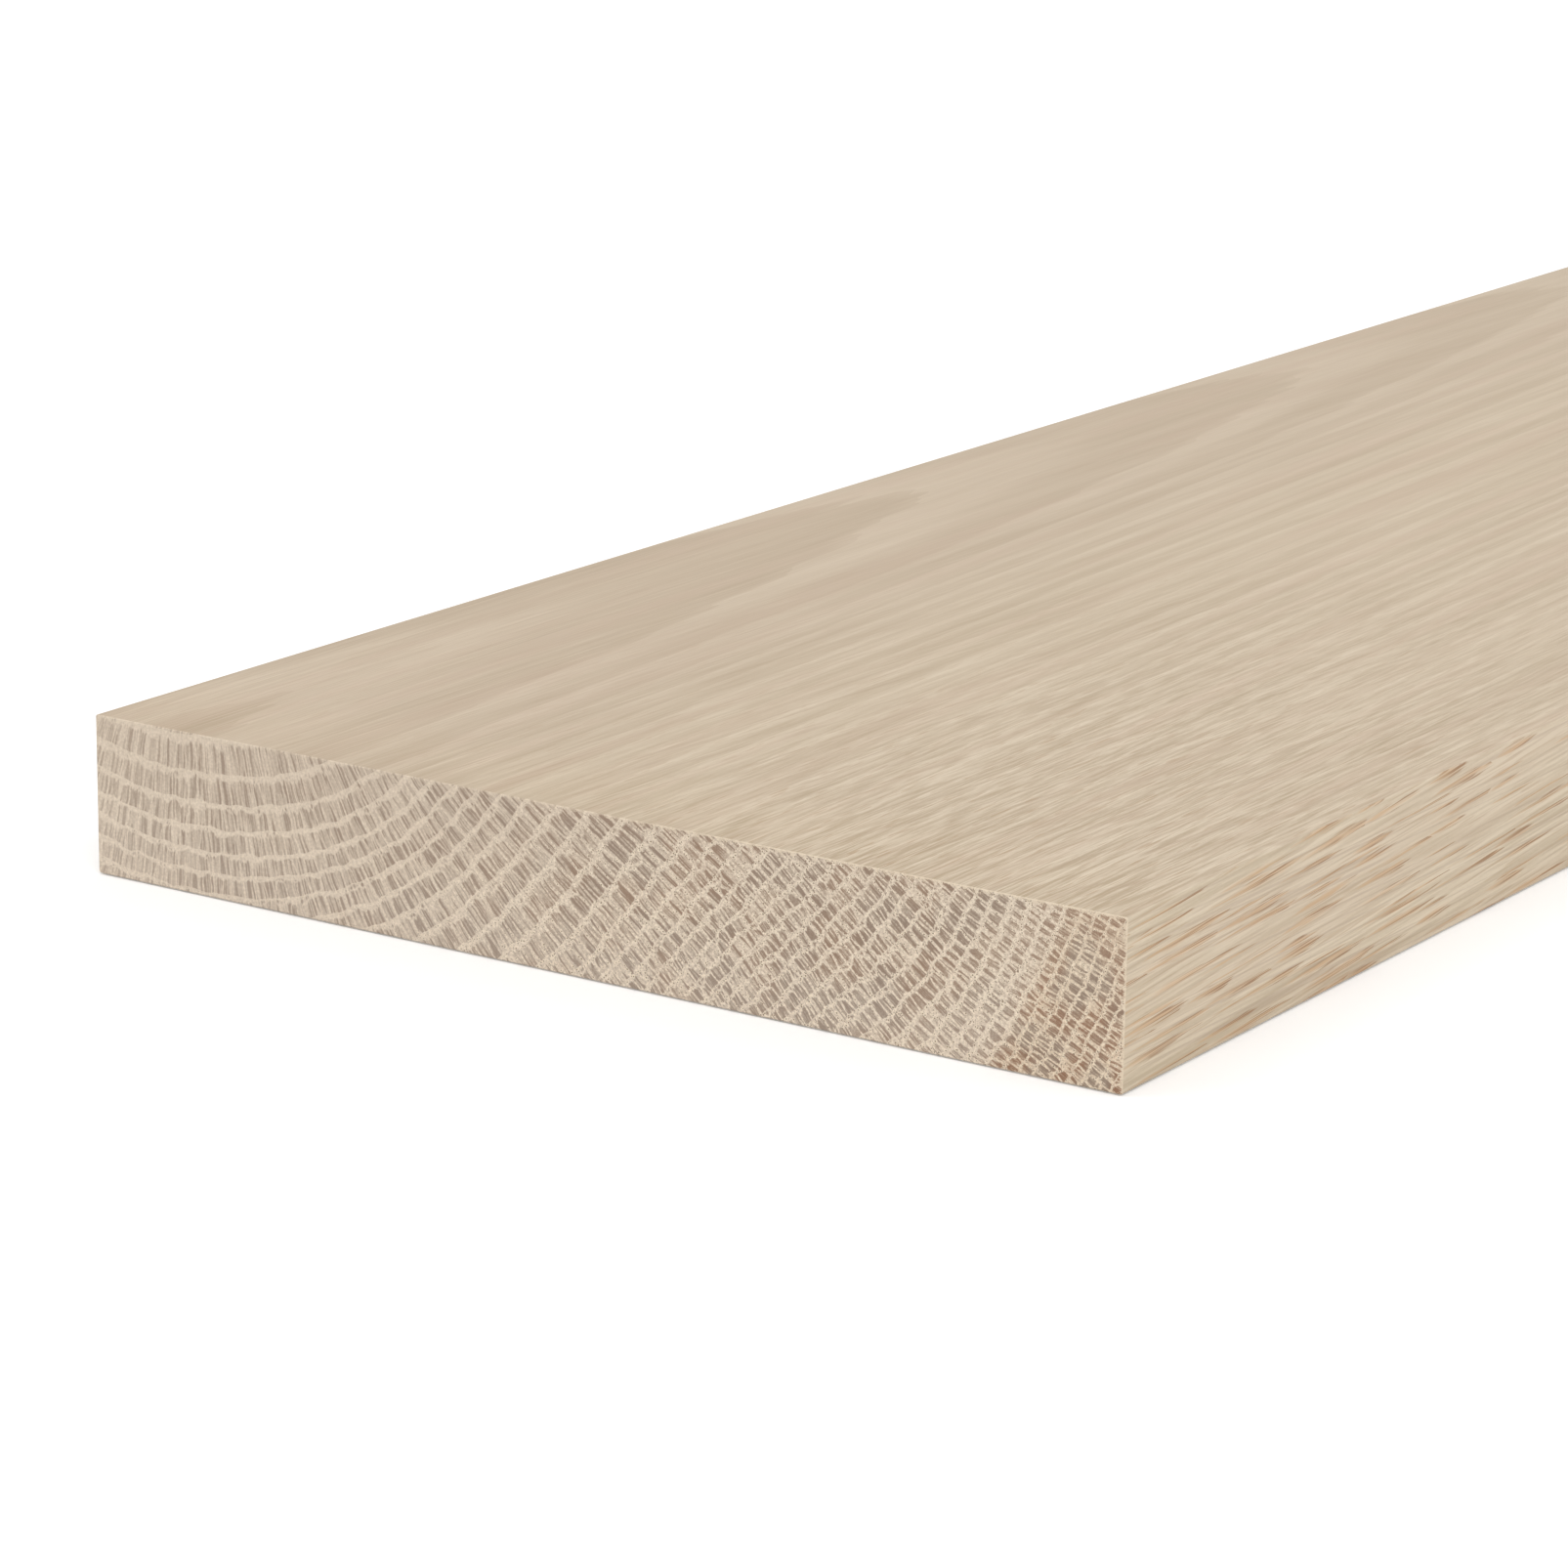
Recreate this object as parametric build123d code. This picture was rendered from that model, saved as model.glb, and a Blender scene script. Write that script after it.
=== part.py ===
from build123d import *
import os

# A door threshold: one planed oak board that lies flat across a doorway, between the two jambs.
# X runs along the board, Y across it from one room to the other, and Z up from the subfloor.
# The origin is the middle of the underside. All sizes are in millimetres.

# Stock size
length = 1000.0
width = 145.0
thickness = 20.0

# The four long corners are only just broken, as the planer leaves them.
corner_radius = 0.3

NODE = "threshold_board"


def board_section():
    """The planed cross-section, standing on the XY plane and facing along X."""
    across = Plane.YZ
    with BuildSketch(across) as section:
        Rectangle(width, thickness, align=(Align.CENTER, Align.MIN))
        fillet(section.vertices(), radius=corner_radius)
    return section.sketch


def threshold_board():
    """The section run along the grain, with both ends sawn square and left sharp."""
    with BuildPart() as board:
        extrude(board_section(), amount=length / 2, both=True)
    return board.part


os.makedirs("parts", exist_ok=True)
export_step(threshold_board(), f"parts/{NODE}.step")
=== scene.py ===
import math
import bpy
from mathutils import Matrix, Vector


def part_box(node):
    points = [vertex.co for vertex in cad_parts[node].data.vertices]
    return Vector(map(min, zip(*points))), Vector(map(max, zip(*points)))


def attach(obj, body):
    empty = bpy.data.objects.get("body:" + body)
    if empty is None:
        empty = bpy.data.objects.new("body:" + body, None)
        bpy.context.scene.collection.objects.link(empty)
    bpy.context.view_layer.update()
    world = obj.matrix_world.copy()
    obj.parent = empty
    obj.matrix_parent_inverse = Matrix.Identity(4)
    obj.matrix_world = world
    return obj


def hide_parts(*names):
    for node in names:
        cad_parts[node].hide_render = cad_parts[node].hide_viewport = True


# The look of one planed oak board with sawn ends. Lengths are in millimetres where a name ends in _MM
# and in metres elsewhere. The board lies along X, and the end that shows most is the one at low X.

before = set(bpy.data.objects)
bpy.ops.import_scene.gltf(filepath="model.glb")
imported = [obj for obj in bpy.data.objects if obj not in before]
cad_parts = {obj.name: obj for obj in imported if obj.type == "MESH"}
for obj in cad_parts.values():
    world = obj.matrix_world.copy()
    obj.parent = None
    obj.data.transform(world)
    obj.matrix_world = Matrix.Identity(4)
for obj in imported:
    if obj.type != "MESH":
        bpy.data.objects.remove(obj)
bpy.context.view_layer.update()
low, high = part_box("threshold_board")

MM = 0.001
LENGTH_MM = (high[0] - low[0]) / MM
WIDTH_MM = (high[1] - low[1]) / MM
THICKNESS_MM = (high[2] - low[2]) / MM


def colour(red, green, blue):
    """A colour as it looks on a screen, 0 to 255, turned into the linear numbers that shaders use."""

    def linear(value):
        share = value / 255
        return share / 12.92 if share <= 0.04045 else ((share + 0.055) / 1.055) ** 2.4

    return (linear(red), linear(green), linear(blue), 1.0)


# How the board lay in the log: the pith's place, from the middle of the sawn end's foot at low X, and how
# far it drifts to each millimetre of length. Arcs round the log are measured at ARC_RADIUS_MM, and the grain
# turns round the log by SPIRAL to each millimetre.
PITH_Y_MM = 57.5
PITH_Z_MM = 67.0
PITH_DRIFT_Y = 0.02
PITH_DRIFT_Z = 0.03
ARC_RADIUS_MM = 95.0
SPIRAL = 0.025

# How far the rings stray from round: wide, slow sways, and narrow shakes that also move the rays
SWAY_MM = 1.2
SWAY_LENGTH_MM = 260
SWAY_WIDTH_MM = 20
SHAKE_MM = 1.1
SHAKE_LENGTH_MM = 240
SHAKE_WIDTH_MM = 2.6
SHAKE_START = 4.167
SHAKE_ROUND_MM = 0.9

# The rings aren't quite round: across the board they rise and fall once, and the rays lean with them
BEND_MM = 5.4
BEND_TOP_Y = -18.0
BEND_RIGHT_MM = 39.0
BEND_LEFT_MM = 60.0
BEND_LEAN = 0.17

# Growth rings: how many to a millimetre where they start to show, how they crowd outwards, and two slow
# swings between narrow and wide years, each as its size in rings, its length and where it starts
FIRST_RING_MM = 48.0
FIRST_RING_SEASON = 0.44
RINGS_PER_MM = 0.248
RINGS_CROWDING = 0.0015
SWINGS = ((0.47, 38.1, 63.5), (0.23, 73.6, 52.1))

# The grain is blurred near the pith and grows crisp further out
SOFT_RADIUS_MM = 50.0
CRISP_RADIUS_MM = 120.0
LEAST_CRISP = 0.38

# The porous wood at the start of each ring: its soft border, and where the year before gives way to it
BAND_SOFTNESS = 0.10
YEAR_END = (0.93, 0.99)

# Sawn ends: late wood lies in blocks between the rays, whose width is set afresh for each group of years
END_SHIFT = 0.37
SHARP_CRISPNESS = (0.40, 0.75)
GROUP_YEARS = 4
MEAN_RING_MM = 2.6
GROUP_START_MM = FIRST_RING_MM + 6
INNER_GROUP_MM = 62.0
OUTER_GROUP_MM = 105.0
INNER_BLOCK_MM = 1.7
OUTER_BLOCK_MM = 1.18
BLOCK_SCATTER = 0.38
BLOCK_SHAKE_MM = 0.4
EARLY_SHARE = 0.115

# Sawn ends: the border of a block, as shares of its width, and how blur and pale years change it
BLOCK_BORDER = (0.03, 0.09)
BLOCK_INSET = 0.07
BLURRED_INSET_LOSS = 0.06
PALE_INSET_GAIN = 0.05
BLURRED_NET_DARK = 0.40

# Sawn ends: what widens the porous band, as shares of a year, and how far it clears a block's dark
FRAY_IN_BAND = 0.30
BLURRED_BAND = 0.16
LUMP_IN_BAND = 0.9
PALE_BAND = 0.08
BAND_CLEARS = 0.8

# Sawn ends: uneven block rims, by the size of a jag round the ring, and how far it reaches in blocks
JAG_MM = 0.45
JAG_LENGTH_MM = 1.2
JAG_REACH = 0.14
FRAY_MM = 0.32
FRAY_PER_YEAR = 3.7
FRAY_REACH = 0.36
LUMP_MM = 1.5
LUMP_PER_YEAR = 2.9

# Sawn ends: pale strokes through the blocks, as wide as these shares of a block, from inner to outer years
STROKE_GROUP_MM = (78, 100)
HAIR_WIDTH = (0.16, 0.20)
HAIR_YEARS = 2.4
STRAND_WIDTH = (0.28, 0.34)
STRAND_YEARS = 1.5

# Sawn ends: the noise levels that make a stroke, and the share of dark that it leaves
STROKE_RADIUS_MM = (98, 118)
HAIR_LEVELS = (0.46, 0.62)
HAIR_LEAVES = (0.48, 0.62)
STRAND_LEVEL = (0.50, 0.57)
STRAND_BORDER = 0.08
STRAND_LEAVES = 0.15

# Sawn ends: where the dark of the late wood is let down, and to what share of it or by what share
BLOCK_TONE_MM = 2.4
BLOCK_TONE_PER_YEAR = 0.8
BLOCK_TONES = (0.86, 1.0)
INNER_YEARS_MM = (52, 92)
INNER_YEARS_DARK = 0.81
PALE_YEARS_LOSS = 0.20
BROWN_TOP_MM = (9, 16)
BROWN_TOP_LOSS = 0.20
FAR_SIDE_MM = 18
FAR_SIDE_DARK = 0.70

# Sawn ends: rays that run on through several years, and fine unevenness
RAY_MM = 0.62
RAY_LENGTH_MM = 11
RAY_LEVELS = (0.60, 0.74)
LEAST_RAY = 0.10
GRIT_MM = 0.13
GRIT = 0.55
MOTTLE_MM = 0.36
NET_LIGHT = 0.81
LIGHT_POWER = 1.4
TINT_MM = 7

# Sawn ends: pores, each in its cell, with radii as shares of it. PORE_NEEDS is the number from 0 to 1 that
# a cell's own has to pass to hold a pore, in late wood and in early wood.
PORE_CELL_MM = 0.32
PORE_NEEDS = (0.50, 0.10)
MOUTH_RIM = (0.20, 0.38)
WALL_INSIDE = (0.20, 0.36)
WALL_OUTSIDE = (0.38, 0.60)
WALL_STRENGTH = 0.75
MOUTH_STRENGTH = 0.80

# Sawn ends: the ragged, pale fibres along the rim, together with a painted highlight along the rim's edge
FUZZ_RAGGED_MM = (0.02, 0.55)
FUZZ_DEPTH_MM = 0.15
FUZZ_AND_HIGHLIGHT_STRENGTH = 0.85

# Sawn ends: a few pale years, and the browner wood outside them
PALE_YEARS_MM = 127.5
PALE_YEARS_REACH_MM = (2.0, 7.5)
BROWN_FROM_MM = PALE_YEARS_MM + 2
BROWN_TO_MM = PALE_YEARS_MM + 6

# Sawn ends: heights between which the tone changes, and how much of a colour goes over it all there. The
# foot gets painted light, the upper half gets painted shade, and blurred grain turns paler.
UPPER_HALF_MM = (8, 18)
FOOT_MM = (1, 11)
FOOT_PAINTED_LIGHT = 0.10
TOP_PAINTED_SHADE = 0.09
BLURRED_PALENESS = 0.12

LATE_TAUPE = colour(150, 131, 115)
LATE_BROWN = colour(153, 128, 108)
OUTER_BROWN = colour(150, 115, 91)
NET_CREAM = colour(245, 229, 207)
BROWN_NET = colour(240, 221, 195)
# Painted light for the foot of each end, and painted shade for its upper half
PAINTED_FOOT_LIGHT = colour(236, 224, 212)
PAINTED_TOP_SHADE = colour(150, 124, 102)
BLURRED_PALE = colour(224, 209, 192)
PORE_WALL = colour(247, 232, 209)
PORE_MOUTH = colour(112, 88, 66)
# Pale saw fibres and a painted edge highlight along the end's rim
SAWN_FUZZ_AND_HIGHLIGHT = colour(228, 211, 186)

# Tread and underside: the marks are strongest by the sawn end at low X, and fade along the board
FADE_MM = 200
FADED = 0.22
FADED_STREAK = 0.20
LONG_BAND_SHARE = 0.34

# Long faces: the tone without any marks, and how much each kind of mark can change it
MIDDLE_TONE = 0.48
BROAD_WEIGHT = 0.65
STREAK_WEIGHT = 0.64
CRISP_STREAK_WEIGHT = 0.45
FINE_WEIGHT = 0.62
BAND_WEIGHT = 0.18
SPECK_WEIGHT = 0.34
STRIPE_WEIGHT = 0.9
FIGURE_MM = (48, 66)
FIGURE_WEIGHTS = (0.32, 0.06)

# Long faces: the noise levels between which each mark comes in, and its strength
VESSEL_LEVELS = (0.58, 0.70)
VESSEL_STRENGTH = 0.50
LIGHT_FLECK_LEVELS = (0.64, 0.76)
LIGHT_FLECK_STRENGTH = 0.30
DARK_FLECK_LEVELS = (0.36, 0.24)
DARK_FLECK_STRENGTH = 0.35
ROSY_LEVELS = (0.45, 0.75)
ROSY_STRENGTH = 0.35
INNER_SHADE_MM = (50, 78)
INNER_SHADE_STRENGTH = 0.24

STREAK_DARK = colour(182, 163, 137)
STREAK_LIGHT = colour(215, 199, 176)
ROSY_TINT = colour(201, 178, 156)
INNER_SHADE = colour(184, 164, 146)
VESSEL_BROWN = colour(168, 136, 102)
FLECK_LIGHT = colour(224, 209, 186)
FLECK_DARK = colour(176, 154, 131)

# Long edges: rays seen end on, as lens-shaped spots in rows that go round the log at one radius
EDGE_RADIUS_MM = 135.0
SPINDLE_GAP_MM = 18.0
SPINDLE_ROW_MM = 1.40
SPINDLE_SCATTER = 0.8
SPINDLE_LENGTH_MM = (5.0, 12.5)
SPINDLE_HEIGHT_MM = (0.14, 0.50)
SPINDLE_RAGGED = 2.2

# Long edges: the noise levels and strengths of their marks, and how far a face has to be cut across the rays
THREAD_LEVELS = (0.60, 0.72)
THREAD_STRENGTH = 0.34
HAZE_STRENGTH = 0.58
RAY_LINE_LEVELS = (0.50, 0.60)
RAY_LINE_STRENGTH = 0.85
ACROSS_RAYS = (0.6, 0.85)
EDGE_PALENESS = 0.28

EDGE_PALE = colour(221, 209, 185)
THREAD_DULL = colour(170, 148, 130)
RAY_HAZE = colour(200, 161, 120)
RAY_STRAND = colour(148, 112, 80)

# Surface finish: roughness and the depth of its relief
SAWN_ROUGHNESS = 0.78
SAWN_RELIEF_MM = 0.05
PLANED_ROUGHNESS = 0.62
PLANED_RELIEF_MM = 0.02
ROUGHNESS_SWING = 0.05
SPECULAR = 0.3

# The board's own shape. Its corners are those of the CAD part, and each sawn end has a hair's breadth of
# its rim broken.
CORNER_RADIUS_MM = 0.3
ARC_STEPS = 6
CELL_MM = 5.0
STATION_MM = 20
END_BREAK_MM = 0.12
SAME_PLACE_MM = 0.001

# The board's materials, by their place in its list: tread and underside, both ends, both long edges
FLATS, ENDS, EDGES = 0, 1, 2

# The flat map, in shares of its side: the sleeve on top and the two ends as strips below it
MAP_EDGE = 0.004
SLEEVE_LOW = 0.168
END_STRIP = 0.078
END_LOW = {-1: 0.004, 1: 0.086}

# The camera, where the photograph was taken from: millimetres from the middle of the sawn end's foot, and
# degrees. The heading is from +Y towards +X.
CAMERA_MM = (-473.23, -343.59, 182.78)
CAMERA_HEADING = 56.314
CAMERA_DOWN = 15.262
CAMERA_ROLL = 0.754
LENS_MM = 122.0
SENSOR_MM = 36.0

# The floor: its own light is FLOOR_LIFT up to FLOOR_NEAR from the board's middle, and rises to
# FLOOR_FAR_LIFT at FLOOR_FAR
FLOOR_GREY = 0.90
FLOOR_SIZE = 14.0
FLOOR_DROP = 0.0002
FLOOR_LIFT = 0.20
FLOOR_NEAR = 1.0
FLOOR_FAR = 3.0
FLOOR_FAR_LIFT = 0.80

# Light: the world's strength, then each lamp's name, place, aim, size and power
WORLD_LIGHT = 0.62
WHITE = (1, 1, 1, 1)
LAMPS = (
    ("key", (-1.6, -1.2, 1.9), (-0.3, 0, 0), 1.4, 19),
    ("fill", (-1.4, 1.5, 1.8), (-0.3, 0, 0), 1.6, 12),
    ("side", (0.4, -2.3, 0.8), (-0.2, 0, 0), 1.2, 8),
    ("back", (1.6, 0.3, 2.0), (0.0, 0, 0), 1.6, 12),
)


class Value:
    """A number that the shader works out at each point. It is added, subtracted, multiplied and divided
    like a plain number, and each of these makes one node."""

    def __init__(self, g, socket):
        self.g = g
        self.socket = socket

    def __add__(self, other):
        return self.g.math("ADD", self, other)

    def __radd__(self, other):
        return self.g.math("ADD", other, self)

    def __sub__(self, other):
        return self.g.math("SUBTRACT", self, other)

    def __rsub__(self, other):
        return self.g.math("SUBTRACT", other, self)

    def __mul__(self, other):
        return self.g.math("MULTIPLY", self, other)

    def __truediv__(self, other):
        return self.g.math("DIVIDE", self, other)

    def __abs__(self):
        return self.g.math("ABSOLUTE", self)

    def ease(self, start, end, at_start=0.0, at_end=1.0):
        """A smooth step from at_start to at_end as this value goes from start to end."""
        node = self.g.add("ShaderNodeMapRange", interpolation_type="SMOOTHSTEP")
        names = ("Value", "From Min", "From Max", "To Min", "To Max")
        for name, given in zip(names, (self, start, end, at_start, at_end)):
            self.g.feed(node.inputs[name], given)
        return Value(self.g, node.outputs["Result"])


class Nodes:
    """Short calls for the shader nodes that the patterns are made of. The owner is a material or a world."""

    def __init__(self, owner):
        owner.use_nodes = True
        self.tree = owner.node_tree
        self.tree.nodes.clear()

    def add(self, kind, **settings):
        node = self.tree.nodes.new(kind)
        for name, value in settings.items():
            setattr(node, name, value)
        return node

    def feed(self, socket, value):
        source = value.socket if isinstance(value, Value) else value
        if isinstance(source, bpy.types.NodeSocket):
            self.tree.links.new(source, socket)
        else:
            socket.default_value = source

    def math(self, operation, a, b=0.0):
        node = self.add("ShaderNodeMath", operation=operation)
        self.feed(node.inputs[0], a)
        self.feed(node.inputs[1], b)
        return Value(self, node.outputs[0])

    def larger(self, a, b):
        return self.math("MAXIMUM", a, b)

    def smaller(self, a, b):
        return self.math("MINIMUM", a, b)

    def point(self, x, y, z):
        node = self.add("ShaderNodeCombineXYZ")
        for socket, value in zip(node.inputs, (x, y, z)):
            self.feed(socket, value)
        return node.outputs[0]

    def parts(self, vector):
        node = self.add("ShaderNodeSeparateXYZ")
        self.feed(node.inputs[0], vector)
        return [Value(self, socket) for socket in node.outputs]

    def place(self):
        """The three object coordinates of the point, in metres."""
        return self.parts(self.add("ShaderNodeTexCoord").outputs["Object"])

    def noise(self, x, y, z, detail=0, **settings):
        """Soft noise from 0 to 1 with lumps about one unit wide. More detail adds finer lumps."""
        node = self.add("ShaderNodeTexNoise", **settings)
        self.feed(node.inputs["Vector"], self.point(x, y, z))
        node.inputs["Scale"].default_value = 1.0
        node.inputs["Detail"].default_value = detail
        return Value(self, node.outputs["Fac"])

    def flat_noise(self, x, y, detail=0):
        return self.noise(x, y, 0.0, detail, noise_dimensions="2D")

    def scatter(self, x, y, z, randomness=1.0, **settings):
        """Scattered points, one to each unit cell. Gives the outputs of the node, by name."""
        node = self.add("ShaderNodeTexVoronoi", **settings)
        self.feed(node.inputs["Vector"], self.point(x, y, z))
        node.inputs["Scale"].default_value = 1.0
        node.inputs["Randomness"].default_value = randomness
        return {socket.name: Value(self, socket) for socket in node.outputs}

    def blend(self, amount, a, b):
        """Colour a with an amount, from 0 to 1, of colour b over it."""
        node = self.add("ShaderNodeMix", data_type="RGBA")
        self.feed(node.inputs["Factor"], amount)
        self.feed(node.inputs[6], a)
        self.feed(node.inputs[7], b)
        return node.outputs[2]


class Log:
    """Where a point of the board lay in the tree, in millimetres: along the trunk, out from the pith
    (radius) and round it (turn, in radians, and arc, at a middling radius). Crisp says how clear the grain
    is there, and aside how much a long edge cuts across the rays there, both up to 1."""

    def __init__(self, g):
        self.g = g
        self.x, self.y, self.z = (part * (1 / MM) for part in g.place())
        self.along = self.x + LENGTH_MM / 2
        lift, lean = self.bend()
        drift_y = self.along * PITH_DRIFT_Y + PITH_Y_MM
        drift_z = self.along * PITH_DRIFT_Z + PITH_Z_MM
        across = (self.y - drift_y) + lean * (self.z - THICKNESS_MM / 2)
        below = (drift_z - self.z) + lift
        distance = g.math("SQRT", across * across + below * below)

        sway = g.noise(self.x / SWAY_LENGTH_MM, self.y / SWAY_WIDTH_MM, self.z / SWAY_WIDTH_MM)
        shaken = self.along / SHAKE_LENGTH_MM - SHAKE_START
        self.shake = g.noise(shaken, self.y / SHAKE_WIDTH_MM, self.z / SHAKE_WIDTH_MM, detail=1)
        self.radius = distance + ((sway - 0.5) * SWAY_MM + (self.shake - 0.5) * SHAKE_MM)
        self.aside = abs(across) / distance
        self.turn = g.math("ARCTAN2", across * -1, below)
        self.twist = self.shake * SHAKE_ROUND_MM - self.along * SPIRAL
        self.arc = self.turn * ARC_RADIUS_MM + self.twist
        self.crisp = self.radius.ease(SOFT_RADIUS_MM, CRISP_RADIUS_MM, LEAST_CRISP, 1.0)
        self.number_rings()

    def bend(self):
        """How far the rings are lifted at this place across the board, and how much they lean there."""
        g = self.g
        past = self.y - BEND_TOP_Y
        angle = g.smaller(past * (math.pi / BEND_LEFT_MM), past * (math.pi / BEND_RIGHT_MM))
        angle = g.larger(g.smaller(angle, math.pi), -math.pi)
        lift = (g.math("COSINE", angle) + 1.0) * (BEND_MM / 2)
        return lift, g.math("SINE", angle) * -BEND_LEAN

    def number_rings(self):
        """The ring number: its whole part counts years, and its rest is the season, from 0 to 1."""
        g = self.g
        out = self.radius - FIRST_RING_MM
        self.count = out * (out * RINGS_CROWDING + RINGS_PER_MM) + FIRST_RING_SEASON
        for rings, length, start in SWINGS:
            swing = g.math("SINE", (self.radius - start) * (2 * math.pi / length))
            self.count = self.count + swing * rings
        self.season = g.math("FRACT", self.count)
        self.year = g.math("FLOOR", self.count)

    def early_band(self, share):
        """1 in the pale, porous wood that each ring starts with, up to a share of the year."""
        inner = self.season.ease(share - BAND_SOFTNESS, share + BAND_SOFTNESS, 1, 0)
        return self.g.larger(inner, self.season.ease(*YEAR_END))

    def grain(self, arc, radius, along, detail=0, start=None):
        """Noise whose lumps have these sizes in millimetres, round the log, outwards and along it."""
        round_log = self.arc / arc
        if start is not None:
            round_log = round_log + start
        return self.g.noise(round_log, self.radius / radius, self.along / along, detail)


class SawnEnd(Log):
    """The place in the tree of a point on a sawn end, with the measures that the end's patterns share."""

    def __init__(self, g):
        super().__init__(g)
        # Only the two ends wear this, so a shift along the noise makes them differ
        self.other = self.along * END_SHIFT
        years = g.math("FLOOR", self.year / GROUP_YEARS)
        self.group = years * (GROUP_YEARS * MEAN_RING_MM) + GROUP_START_MM
        self.round_mm = self.turn * self.group + self.shake * BLOCK_SHAKE_MM
        self.pitch = self.group.ease(INNER_GROUP_MM, OUTER_GROUP_MM, INNER_BLOCK_MM, OUTER_BLOCK_MM)
        self.blur = 1.0 - self.crisp
        self.sharp = self.crisp.ease(*SHARP_CRISPNESS)
        self.jag = self.marks(JAG_MM, self.radius / JAG_LENGTH_MM, detail=1) - 0.5
        self.fray = self.marks(FRAY_MM, self.year * FRAY_PER_YEAR, detail=1) - 0.5
        self.pale = abs(self.radius - PALE_YEARS_MM).ease(*PALE_YEARS_REACH_MM, 1.0, 0.0)
        self.brown = self.radius.ease(BROWN_FROM_MM, BROWN_TO_MM)
        self.grit = g.flat_noise(self.y / GRIT_MM, (self.z + self.other) / GRIT_MM, detail=1)

    def marks(self, width_mm, outward, detail=0):
        """Noise with lumps of this width round the ring, which differs from one end to the other."""
        return self.g.flat_noise(self.round_mm / width_mm, outward + self.other, detail)


def late_blocks(g, end):
    """How much each point is inside a block of late wood, from 0 to 1, and the porous band between them."""
    rim = g.scatter(
        end.round_mm / end.pitch + end.jag * JAG_REACH,
        end.count + (0.5 + EARLY_SHARE / 2) + end.fray * FRAY_REACH,
        0.0,
        randomness=BLOCK_SCATTER,
        feature="DISTANCE_TO_EDGE",
        voronoi_dimensions="2D",
    )
    inset = BLOCK_INSET - end.blur * BLURRED_INSET_LOSS + end.pale * PALE_INSET_GAIN
    border_start, border_end = inset - BLOCK_BORDER[0], inset + BLOCK_BORDER[1]
    block = rim["Distance"].ease(border_start, border_end, end.blur * BLURRED_NET_DARK, 1.0)
    lump = end.marks(LUMP_MM, end.year * LUMP_PER_YEAR, detail=1) - 0.5
    share = end.fray * FRAY_IN_BAND + end.blur * (BLURRED_BAND + lump * LUMP_IN_BAND)
    band = end.early_band(share + end.pale * PALE_BAND + EARLY_SHARE)
    return block * (1.0 - band.ease(0.3, 0.9, 0, BAND_CLEARS)), band


def pale_strokes(g, end, dark):
    """The dark of the late wood, broken up by fine pale hairs and broader strands that run outwards."""
    hair_mm = end.pitch * end.group.ease(*STROKE_GROUP_MM, *HAIR_WIDTH)
    hair = end.marks(hair_mm, end.count / HAIR_YEARS)
    soft = (1.0 - end.sharp) * 0.08
    leaves = end.radius.ease(*STROKE_RADIUS_MM, *HAIR_LEAVES)
    dark = dark * hair.ease(HAIR_LEVELS[0] - soft, HAIR_LEVELS[1] + soft, 1.0, leaves)

    strand_mm = end.pitch * end.group.ease(*STROKE_GROUP_MM, *STRAND_WIDTH)
    strand = end.marks(strand_mm, end.count / STRAND_YEARS)
    level = end.radius.ease(*STROKE_RADIUS_MM, *STRAND_LEVEL)
    return dark * strand.ease(level, level + STRAND_BORDER, 1.0, STRAND_LEAVES + end.blur * 0.55)


def late_wood_tone(g, end, dark):
    """The dark of the late wood, let down in some blocks, near the pith, in the pale years, on rays, at the
    top of the brown wood and at the far side."""
    own = end.marks(BLOCK_TONE_MM, end.count * BLOCK_TONE_PER_YEAR)
    dark = dark * own.ease(0.30, 0.62, *BLOCK_TONES)
    dark = dark * end.radius.ease(*INNER_YEARS_MM, INNER_YEARS_DARK, 1.0)
    dark = dark * (1.0 - end.pale * PALE_YEARS_LOSS)
    dark = dark * (1.0 - end.brown * end.z.ease(*BROWN_TOP_MM, 0.0, BROWN_TOP_LOSS))
    # Rays that run on through several years, which show most in the soft wood near the pith
    ray = g.flat_noise(end.arc / RAY_MM, end.radius / RAY_LENGTH_MM + end.other)
    dark = dark * (1.0 - ray.ease(*RAY_LEVELS) * (LEAST_RAY + end.blur))
    return dark * end.y.ease(WIDTH_MM / 2 - FAR_SIDE_MM, WIDTH_MM / 2, 1.0, FAR_SIDE_DARK)


def end_colour(g, end, dark):
    """Taupe late wood and the cream net round it, with grit and mottling, and the tones across the end, with
    painted light low on the end and painted shade on its upper half.
    """
    mottle = g.flat_noise(end.y / MOTTLE_MM, (end.z + end.other) / MOTTLE_MM, detail=1) - 0.5
    light = (NET_LIGHT - dark * NET_LIGHT) + (end.grit - 0.5) * end.sharp * GRIT
    light = light + mottle * (1.0 - dark * 0.6) * (0.4 + end.sharp * 0.4)
    light = g.math("POWER", g.smaller(g.larger(light, 0), 1), LIGHT_POWER)

    tint = g.flat_noise(end.arc / TINT_MM, end.radius / TINT_MM + end.other, detail=1)
    late = g.blend(tint.ease(0.35, 0.68) * (0.2 + end.sharp * 0.8), LATE_TAUPE, LATE_BROWN)
    patches = end.brown * tint.ease(0.36, 0.54) * end.z.ease(*UPPER_HALF_MM, 1.0, 0.5)
    late = g.blend(patches, late, OUTER_BROWN)
    base = g.blend(light, late, g.blend(end.brown, NET_CREAM, BROWN_NET))
    # Painted light makes the foot of the end paler where the wood is not brown, and painted shade darkens
    # the upper half
    base = g.blend(end.z.ease(*FOOT_MM, FOOT_PAINTED_LIGHT, 0.0) * (1.0 - end.brown), base, PAINTED_FOOT_LIGHT)
    base = g.blend(end.z.ease(*UPPER_HALF_MM, 0.0, TOP_PAINTED_SHADE), base, PAINTED_TOP_SHADE)
    return g.blend(end.blur * BLURRED_PALENESS, base, BLURRED_PALE)


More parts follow.
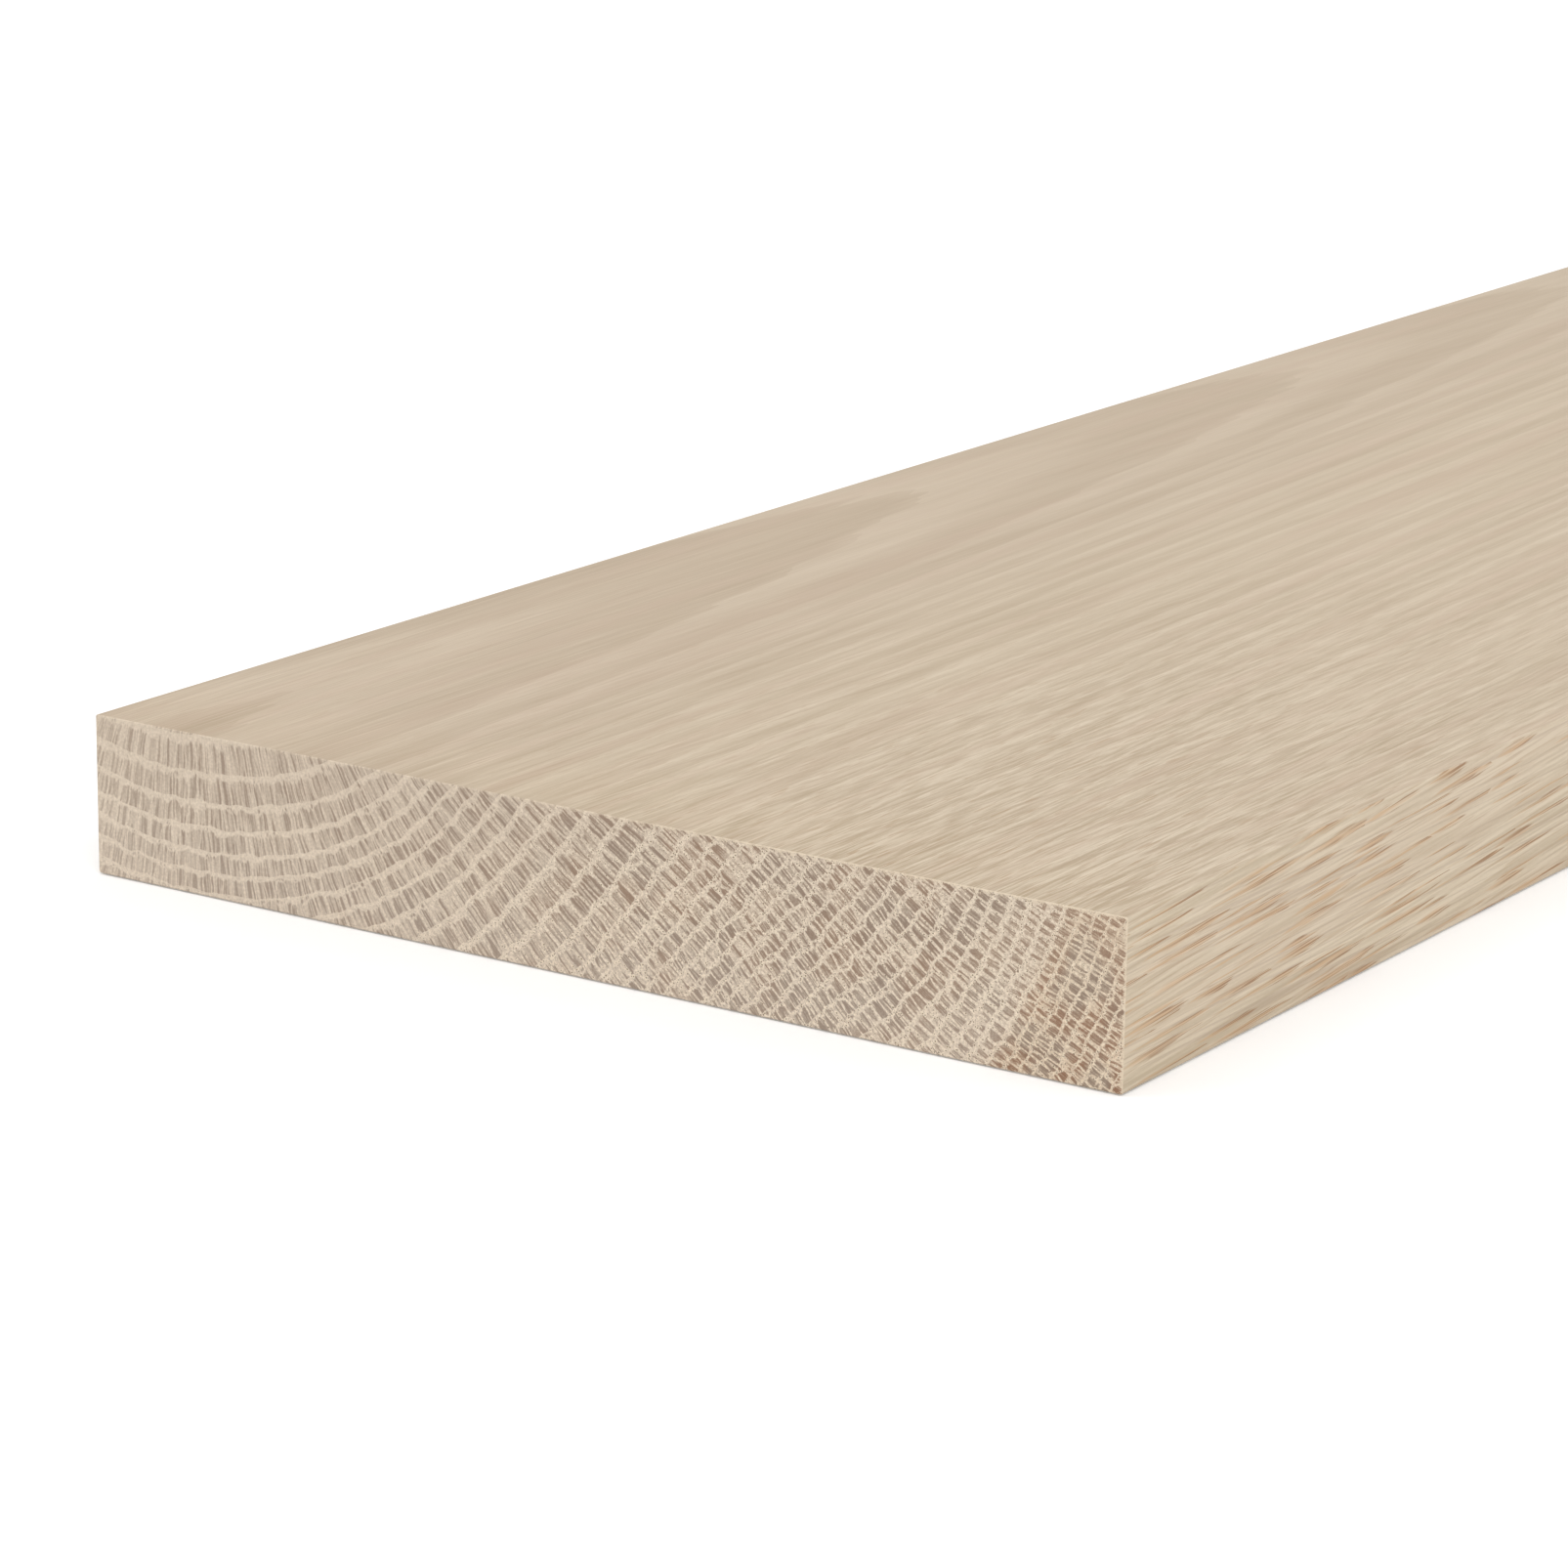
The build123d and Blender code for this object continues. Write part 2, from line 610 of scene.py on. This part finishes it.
def add_pores(g, end, band, dark, base):
    """Open pores with pale walls, crowded in the early wood and absent from the dark blocks."""
    pore = g.scatter(end.round_mm / PORE_CELL_MM, end.radius / PORE_CELL_MM, end.other)
    distance = pore["Distance"]
    key = g.parts(pore["Color"])[0]
    chosen = g.math("GREATER_THAN", key, band.ease(0.2, 0.8, *PORE_NEEDS))
    open_wood = chosen * (0.10 + end.sharp * 0.90) * dark.ease(0.35, 0.12)
    wall = distance.ease(*WALL_INSIDE) * distance.ease(*WALL_OUTSIDE, 1, 0) * open_wood
    mouth = distance.ease(*MOUTH_RIM, 1, 0) * open_wood
    base = g.blend(wall * WALL_STRENGTH, base, PORE_WALL)
    return g.blend(mouth * MOUTH_STRENGTH, base, PORE_MOUTH)


def add_fuzz_and_edge_highlight(g, end, base):
    """The pale, ragged fibres that the saw leaves along the end's top and side rims, together with a painted
    highlight along these edges.
    """
    rough = end.jag.ease(-0.25, 0.25, *FUZZ_RAGGED_MM) * end.grit.ease(0.30, 0.60)
    past_side = abs(end.y) - WIDTH_MM / 2 + rough
    past_top = end.z - THICKNESS_MM + rough
    # Pale fibres and a painted highlight within a fraction of a millimetre of the top and side rims
    fuzz_and_highlight = g.larger(past_side, past_top).ease(-FUZZ_DEPTH_MM, 0.0, 0.0, FUZZ_AND_HIGHLIGHT_STRENGTH)
    return g.blend(fuzz_and_highlight * end.crisp.ease(0.4, 0.9, 0.3, 1.0), base, SAWN_FUZZ_AND_HIGHLIGHT)


def end_grain():
    """Sawn across the grain: thin porous bands and pale rays round the taupe blocks of late wood."""
    material = bpy.data.materials.new("oak_end_grain")
    g = Nodes(material)
    end = SawnEnd(g)
    block, band = late_blocks(g, end)
    dark = late_wood_tone(g, end, pale_strokes(g, end, block))
    base = end_colour(g, end, dark)
    base = add_pores(g, end, band, dark, base)
    base = add_fuzz_and_edge_highlight(g, end, base)
    finish_surface(g, base, SAWN_ROUGHNESS, end.grit, SAWN_RELIEF_MM)
    return material


def spindles(g, log):
    """Rays seen end on, on the long edges: lens-shaped spots in staggered rows. Gives how far inside a spot
    a point is, and how far along it, from -1 to 1."""
    round_mm = log.turn * EDGE_RADIUS_MM + log.twist
    column, row = log.along / SPINDLE_GAP_MM, round_mm / SPINDLE_ROW_MM
    spot = g.scatter(column, row, 0.0, randomness=SPINDLE_SCATTER, voronoi_dimensions="2D")
    centre = g.parts(spot["Position"])
    own = g.parts(spot["Color"])
    length = own[0].ease(0.0, 1.0, *SPINDLE_LENGTH_MM)
    height = own[1].ease(0.0, 1.0, *SPINDLE_HEIGHT_MM)
    reach = (column - centre[0]) * SPINDLE_GAP_MM / length
    aside = abs((row - centre[1]) * SPINDLE_ROW_MM)
    ragged = log.grain(arc=0.13, radius=3, along=6, detail=1)
    inside = 1.0 - reach * reach - aside / height + (ragged - 0.5) * SPINDLE_RAGGED
    return inside, reach


def ray_spots(g, log, base):
    """A long edge's own marks over the base colour: dull threads, and spots of haze with dark strands."""
    thread = g.noise(log.z / 0.30, log.y / 3, log.along / 70)
    base = g.blend(thread.ease(*THREAD_LEVELS, 0, THREAD_STRENGTH), base, THREAD_DULL)
    inside, reach = spindles(g, log)
    across_rays = log.aside.ease(*ACROSS_RAYS)
    haze = inside.ease(-0.1, 0.9) * across_rays
    base = g.blend(haze * HAZE_STRENGTH, base, RAY_HAZE)
    line = log.grain(arc=0.075, radius=3, along=12, start=5)
    strand = inside.ease(-0.2, 0.3) * (line.ease(*RAY_LINE_LEVELS) * reach.ease(-1.0, 0.5))
    return g.blend(strand * across_rays * RAY_LINE_STRENGTH, base, RAY_STRAND)


def streak_tone(g, log, band, near, edges):
    """How light the streaks of a long face are, from 0 to 1."""
    broad = log.grain(arc=6, radius=2.4, along=220, detail=1)
    streak = log.grain(arc=0.90, radius=0.80, along=110, detail=2)
    fine = log.grain(arc=0.38, radius=0.32, along=45, detail=1).ease(0.36, 0.64, -0.5, 0.5)
    speck = g.noise(log.y / 0.15, log.z / 0.15, log.x / 0.8)

    streak_near = FADED_STREAK + near * (1 - FADED_STREAK)
    streak_weight = (STREAK_WEIGHT + log.crisp * CRISP_STREAK_WEIGHT) * streak_near
    fine_weight = log.crisp.ease(0.5, 1.0, 0.12, 1.0) * (near * FINE_WEIGHT)
    tone = (broad - 0.5) * BROAD_WEIGHT + (streak - 0.5) * streak_weight
    tone = tone + fine * fine_weight + MIDDLE_TONE
    tone = tone + (band - 0.3) * BAND_WEIGHT
    tone = tone + (speck - 0.5) * log.crisp * (near * SPECK_WEIGHT)
    if edges:
        stripe = g.noise(log.z / 0.75, log.y / 3, log.along / 160)
        tone = tone + (stripe - 0.5) * STRIPE_WEIGHT
    tone = tone + (0.5 - log.season) * log.radius.ease(*FIGURE_MM, *FIGURE_WEIGHTS)
    return g.smaller(g.larger(tone, 0), 1)


def add_vessels(g, log, band, near, base):
    """Vessels cut lengthwise: short, thin, dark lines that crowd in each ring's early wood."""
    thread = log.grain(arc=0.22, radius=0.17, along=11, start=9)
    vessel = thread.ease(*VESSEL_LEVELS) * band.ease(0, 1, 0.25, 1.0)
    return g.blend(vessel * log.crisp * near * VESSEL_STRENGTH, base, VESSEL_BROWN)


def add_flecks(g, log, near, base):
    """Short light and dark flecks, from the rays that a long face cuts."""
    fleck = log.grain(arc=0.26, radius=9, along=18)
    lighter = fleck.ease(*LIGHT_FLECK_LEVELS, 0, LIGHT_FLECK_STRENGTH) * near
    darker = fleck.ease(*DARK_FLECK_LEVELS, 0, DARK_FLECK_STRENGTH) * near
    return g.blend(darker, g.blend(lighter, base, FLECK_LIGHT), FLECK_DARK)


def long_grain(name, edges):
    """Cut along the grain: beige, with fine streaks. The long edges are also cut across the rays."""
    material = bpy.data.materials.new(name)
    g = Nodes(material)
    log = Log(g)
    band = log.early_band(LONG_BAND_SHARE)
    near = 1.0 if edges else log.along.ease(0, FADE_MM, 1.0, FADED)
    base = g.blend(streak_tone(g, log, band, near, edges), STREAK_DARK, STREAK_LIGHT)
    tint = log.grain(arc=7, radius=3.5, along=160, detail=1)
    base = g.blend(tint.ease(*ROSY_LEVELS, 0, ROSY_STRENGTH), base, ROSY_TINT)
    base = g.blend(log.radius.ease(*INNER_SHADE_MM, INNER_SHADE_STRENGTH, 0.0), base, INNER_SHADE)
    base = add_vessels(g, log, band, near, base)
    if edges:
        base = ray_spots(g, log, g.blend(EDGE_PALENESS, base, EDGE_PALE))
    base = add_flecks(g, log, near, base)
    relief = g.noise(log.y / 0.25, log.z / 0.25, log.x / 9)
    finish_surface(g, base, PLANED_ROUGHNESS, relief, PLANED_RELIEF_MM)
    return material


def finish_surface(g, base, roughness, height, relief_mm):
    """The shader: colour, and the dull, slightly uneven surface that a plane or a saw leaves."""
    shader = g.add("ShaderNodeBsdfPrincipled")
    g.feed(shader.inputs["Base Color"], base)
    uneven = height.ease(0.3, 0.7, roughness + ROUGHNESS_SWING, roughness - ROUGHNESS_SWING)
    g.feed(shader.inputs["Roughness"], uneven)
    shader.inputs["Specular IOR Level"].default_value = SPECULAR
    bump = g.add("ShaderNodeBump")
    bump.inputs["Strength"].default_value = 1.0
    bump.inputs["Distance"].default_value = relief_mm * MM
    g.feed(bump.inputs["Height"], height)
    g.feed(shader.inputs["Normal"], bump.outputs["Normal"])
    output = g.add("ShaderNodeOutputMaterial")
    g.feed(output.inputs["Surface"], shader.outputs[0])


def spread(start, end, steps):
    """Evenly spaced numbers from start to end, with both of them."""
    return [start + (end - start) * i / steps for i in range(steps + 1)]


def section_grid(inset):
    """Columns of points across the section, each from underside to tread, inset from the outline, in mm."""
    half = WIDTH_MM / 2
    middle = THICKNESS_MM / 2
    quarter = spread(0, math.pi / 2, ARC_STEPS)
    turns = [half - CORNER_RADIUS_MM * (1 - math.sin(angle)) for angle in quarter]
    flat = spread(-turns[0], turns[0], round(2 * turns[0] / CELL_MM))
    stations = [-y for y in reversed(turns)][:-1] + flat + turns[1:]
    rows = spread(0, 1, round(THICKNESS_MM / CELL_MM))
    scale_y = (half - inset) / half
    scale_z = (middle - inset) / middle
    columns = []
    for y in stations:
        dip = corner_dip(y)
        heights = [dip + (THICKNESS_MM - dip - dip) * share for share in rows]
        columns.append([(y * scale_y, middle + (z - middle) * scale_z) for z in heights])
    return columns


def corner_dip(y):
    """How far the rounded corner lies inside the flat face at this place across the board."""
    past = max(0.0, abs(y) - (WIDTH_MM / 2 - CORNER_RADIUS_MM))
    return CORNER_RADIUS_MM - math.sqrt(max(0.0, CORNER_RADIUS_MM * CORNER_RADIUS_MM - past * past))


def outline_of(columns):
    """The grid's rim, once round: along the underside, up, back along the tread and down."""
    last, top = len(columns) - 1, len(columns[0]) - 1
    rim = [(i, 0) for i in range(last)] + [(last, j) for j in range(top)]
    return rim + [(i, top) for i in range(last, 0, -1)] + [(0, j) for j in range(top, 0, -1)]


def run_round(section):
    """How far round the section each of its points is, from 0 to 1, and the first point again at 1."""
    run = [0.0]
    for here, after in zip(section, section[1:] + section[:1]):
        run.append(run[-1] + math.dist(here, after))
    return [value / run[-1] for value in run]


def on_sleeve(along, run):
    """A place on the sleeve's part of the flat map."""
    return (MAP_EDGE + along * (1 - 2 * MAP_EDGE), SLEEVE_LOW + run * (1 - MAP_EDGE - SLEEVE_LOW))


def on_end(side, y, z):
    """A place on one end's strip of the flat map."""
    across = y / WIDTH_MM + 0.5
    across = across if side > 0 else 1 - across
    return (MAP_EDGE + across * (1 - 2 * MAP_EDGE), END_LOW[side] + z / THICKNESS_MM * END_STRIP)


class BoardMesh:
    """The board as one closed mesh: the long surface as a sleeve, and each end as a grid. Each corner of
    each face also gets a place on the flat map that the surface is baked to."""

    def __init__(self):
        self.points, self.faces, self.slots, self.places = [], [], [], []
        full, inner = section_grid(0.0), section_grid(END_BREAK_MM)
        rim = outline_of(full)
        self.outer = [full[i][j] for i, j in rim]
        last_ring = self.add_sleeve()
        self.add_end(-1, 0, inner, rim)
        self.add_end(1, last_ring, inner, rim)

    def add_face(self, corners, slot, spots):
        self.faces.append(corners)
        self.slots.append(slot)
        self.places.extend(spots)

    def add_sleeve(self):
        """Rings of points from low X to high X. Gives the number of the last ring's first point."""
        half = LENGTH_MM / 2 - END_BREAK_MM
        steps = round(LENGTH_MM / STATION_MM)
        for x in spread(-half, half, steps):
            self.points += [(x * MM, y * MM, z * MM) for y, z in self.outer]
        count = len(self.outer)
        run = run_round(self.outer)
        for s in range(steps):
            u0, u1 = s / steps, (s + 1) / steps
            for k in range(count):
                a, b = s * count + k, s * count + (k + 1) % count
                v0, v1 = run[k], run[k + 1]
                spots = (on_sleeve(u0, v0), on_sleeve(u1, v0), on_sleeve(u1, v1), on_sleeve(u0, v1))
                self.add_face((a, a + count, b + count, b), self.sleeve_slot(a, b), spots)
        return steps * count

    def sleeve_slot(self, a, b):
        """A face belongs to a long edge if both its points lie where the tread's flat ends, or past it."""
        nearest = min(abs(self.points[a][1]), abs(self.points[b][1])) / MM
        flat_ends = WIDTH_MM / 2 - CORNER_RADIUS_MM - SAME_PLACE_MM
        return EDGES if nearest > flat_ends else FLATS

    def add_end(self, side, first, inner, rim):
        """One sawn end, at low X for side -1 and at high X for side 1: a grid, and the broken rim that joins
        it to the sleeve's ring that starts at point number first."""
        index = {}
        for i, column in enumerate(inner):
            for j, (y, z) in enumerate(column):
                index[i, j] = len(self.points)
                self.points.append((side * LENGTH_MM / 2 * MM, y * MM, z * MM))
        for i in range(len(inner) - 1):
            for j in range(len(inner[0]) - 1):
                cells = ((i, j), (i, j + 1), (i + 1, j + 1), (i + 1, j))
                cells = cells if side < 0 else cells[::-1]
                spots = [on_end(side, *inner[c][r]) for c, r in cells]
                self.add_face(tuple(index[cell] for cell in cells), ENDS, spots)
        count = len(rim)
        for k in range(count):
            next_k = (k + 1) % count
            here, after = rim[k], rim[next_k]
            corners = (first + k, first + next_k, index[after], index[here])
            section = (self.outer[k], self.outer[next_k])
            section += (inner[after[0]][after[1]], inner[here[0]][here[1]])
            spots = [on_end(side, *point) for point in section]
            if side > 0:
                corners, spots = corners[::-1], spots[::-1]
            self.add_face(corners, ENDS, spots)

    def mesh(self, name):
        mesh = bpy.data.meshes.new(name)
        mesh.from_pydata(self.points, [], self.faces)
        mesh.polygons.foreach_set("material_index", self.slots)
        mesh.polygons.foreach_set("use_smooth", [slot != ENDS for slot in self.slots])
        flat = mesh.uv_layers.new(name="OFBake")
        flat.data.foreach_set("uv", [value for spot in self.places for value in spot])
        mesh.update()
        return mesh


def make_board():
    """The one piece, which takes the place of the CAD board."""
    board = bpy.data.objects.new("oak_board", BoardMesh().mesh("oak_board"))
    bpy.context.scene.collection.objects.link(board)
    board.data.materials.append(long_grain("oak_tread", False))
    board.data.materials.append(end_grain())
    board.data.materials.append(long_grain("oak_edge", True))
    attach(board, "root")
    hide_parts("threshold_board")


def make_camera():
    """The camera, put where the photograph was taken from, with the sawn end at low X towards it."""
    data = bpy.data.cameras.new("camera")
    data.lens = LENS_MM
    data.sensor_width = SENSOR_MM
    camera = bpy.data.objects.new("camera", data)
    bpy.context.scene.collection.objects.link(camera)
    turn = Matrix.Rotation(-math.radians(CAMERA_HEADING), 4, "Z")
    tilt = Matrix.Rotation(math.radians(90 - CAMERA_DOWN), 4, "X")
    roll = Matrix.Rotation(math.radians(CAMERA_ROLL), 4, "Z")
    x, y, z = CAMERA_MM
    place = Matrix.Translation(Vector(((x - LENGTH_MM / 2) * MM, y * MM, z * MM)))
    camera.matrix_world = place @ turn @ tilt @ roll
    bpy.context.scene.camera = camera


def floor_material():
    """Matt white, which adds some light of its own where the camera sees it: a little round the board, where
    the shadow lies, and more far away, where less lamp light falls."""
    material = bpy.data.materials.new("floor")
    g = Nodes(material)
    matt = g.add("ShaderNodeBsdfDiffuse")
    matt.inputs["Color"].default_value = (FLOOR_GREY, FLOOR_GREY, FLOOR_GREY, 1)
    path = g.add("ShaderNodeLightPath")
    seen = g.larger(path.outputs["Is Camera Ray"], path.outputs["Is Glossy Ray"])
    x, y, _ = g.place()
    away = g.math("SQRT", x * x + y * y)
    strength = away.ease(FLOOR_NEAR, FLOOR_FAR, FLOOR_LIFT, FLOOR_FAR_LIFT)
    lift = g.add("ShaderNodeEmission")
    g.feed(lift.inputs["Strength"], seen * strength)
    both = g.add("ShaderNodeAddShader")
    g.feed(both.inputs[0], matt.outputs[0])
    g.feed(both.inputs[1], lift.outputs[0])
    output = g.add("ShaderNodeOutputMaterial")
    g.feed(output.inputs["Surface"], both.outputs[0])
    return material


def make_floor():
    """A large white square, just under the board."""
    half = FLOOR_SIZE / 2
    mesh = bpy.data.meshes.new("floor")
    corners = [(-half, -half, 0), (half, -half, 0), (half, half, 0), (-half, half, 0)]
    mesh.from_pydata(corners, [], [(0, 1, 2, 3)])
    mesh.materials.append(floor_material())
    floor = bpy.data.objects.new("floor", mesh)
    bpy.context.scene.collection.objects.link(floor)
    floor.location.z = -FLOOR_DROP


def make_world():
    """Even studio light from all round, and plain white wherever the camera looks past the floor."""
    world = bpy.data.worlds.new("studio")
    bpy.context.scene.world = world
    g = Nodes(world)
    mix = g.add("ShaderNodeMixShader")
    g.feed(mix.inputs[0], g.add("ShaderNodeLightPath").outputs["Is Camera Ray"])
    for place, strength in ((1, WORLD_LIGHT), (2, 1.0)):
        glow = g.add("ShaderNodeBackground")
        glow.inputs["Color"].default_value = WHITE
        glow.inputs["Strength"].default_value = strength
        g.feed(mix.inputs[place], glow.outputs[0])
    output = g.add("ShaderNodeOutputWorld")
    g.feed(output.inputs["Surface"], mix.outputs[0])


def make_lights():
    """Soft square lamps round the board, each turned to its aim."""
    for name, place, aim, size, power in LAMPS:
        data = bpy.data.lights.new(name, "AREA")
        data.shape = "SQUARE"
        data.size = size
        data.energy = power
        lamp = bpy.data.objects.new(name, data)
        bpy.context.scene.collection.objects.link(lamp)
        lamp.location = place
        lamp.rotation_euler = (Vector(aim) - Vector(place)).to_track_quat("-Z", "Y").to_euler()


make_camera()
make_world()
make_lights()
make_floor()
make_board()
bpy.context.scene.view_settings.view_transform = "Standard"
